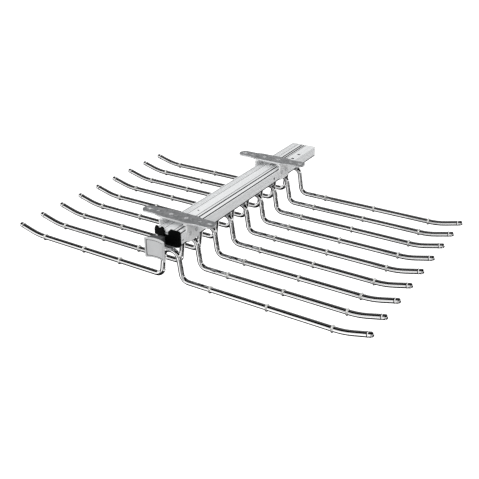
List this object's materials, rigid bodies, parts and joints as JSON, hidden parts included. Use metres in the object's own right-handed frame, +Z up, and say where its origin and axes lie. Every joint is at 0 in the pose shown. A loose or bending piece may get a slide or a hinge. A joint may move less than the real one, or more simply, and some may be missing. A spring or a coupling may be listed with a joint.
{
  "type": "pull out trouser rack",
  "caption": "Top-mounted pull-out trouser rack: a ball-guided carriage slides in a fixed rail and carries a row of chromed rods, each with an arm on both sides.",
  "frame": {"origin": "on the mounting plane (the top faces of the bracket plates), in the middle of the four slotted screw holes", "axes": "+X to the right along the arms, +Y towards the back of the wardrobe, +Z up"},
  "size_m": [0.6106, 0.4355, 0.0936],
  "materials": {
    "chromed_steel": "mirror-bright chrome",
    "chromed_cap": "bright plated cap",
    "extruded_aluminium": "bright anodised",
    "plated_steel": "zinc plated",
    "ball_steel": "ground",
    "black_plastic": "moulded",
    "grey_plastic": "moulded",
    "silver_plastic": "silver-grey satin",
    "white_plastic": "moulded",
    "cage_plastic": "moulded",
    "clear_rubber": "translucent soft ring"
  },
  "bodies": {
    "fixed_part": {"fixed_rail": "extruded_aluminium", "rear_end_cap": "white_plastic", "front_bracket_plate": "plated_steel", "rear_bracket_plate": "plated_steel", "front_saddle": "plated_steel", "rear_saddle": "plated_steel", "plate_rivets": "plated_steel", "saddle_rivets": "plated_steel", "rail_stop_screws": "plated_steel"},
    "ball_cages": {"left_ball_cage": "cage_plastic", "right_ball_cage": "cage_plastic", "left_balls": "ball_steel", "right_balls": "ball_steel"},
    "pull_out_rack": {"carriage": "extruded_aluminium", "carriage_stop_pins": "plated_steel", "bar_carrier": "plated_steel", "carrier_screws": "plated_steel", "left_end_cap": "black_plastic", "right_end_cap": "black_plastic", "handle_body": "grey_plastic", "handle_plate": "silver_plastic", "handle_screw": "plated_steel", "trouser_bar_1": "chromed_steel", "grip_rings_1": "clear_rubber", "tip_caps_1": "chromed_cap", "trouser_bar_2": "chromed_steel", "grip_rings_2": "clear_rubber", "tip_caps_2": "chromed_cap", "trouser_bar_3": "chromed_steel", "grip_rings_3": "clear_rubber", "tip_caps_3": "chromed_cap", "trouser_bar_4": "chromed_steel", "grip_rings_4": "clear_rubber", "tip_caps_4": "chromed_cap", "trouser_bar_5": "chromed_steel", "grip_rings_5": "clear_rubber", "tip_caps_5": "chromed_cap", "trouser_bar_6": "chromed_steel", "grip_rings_6": "clear_rubber", "tip_caps_6": "chromed_cap", "trouser_bar_7": "chromed_steel", "grip_rings_7": "clear_rubber", "tip_caps_7": "chromed_cap", "trouser_bar_8": "chromed_steel", "grip_rings_8": "clear_rubber", "tip_caps_8": "chromed_cap", "trouser_bar_9": "chromed_steel", "grip_rings_9": "clear_rubber", "tip_caps_9": "chromed_cap"}
  },
  "joints": [
    {"name": "pull_out", "type": "slide", "parent": "fixed_part", "child": "pull_out_rack", "axis": [0, -1, 0], "range_m": [0, 0.28]},
    {"name": "cage_roll", "type": "slide", "parent": "fixed_part", "child": "ball_cages", "axis": [0, -1, 0], "range_m": [0, 0.14]}
  ],
  "couplings": [
    {"joint": "cage_roll", "follows": "pull_out", "ratio": 0.5}
  ]
}
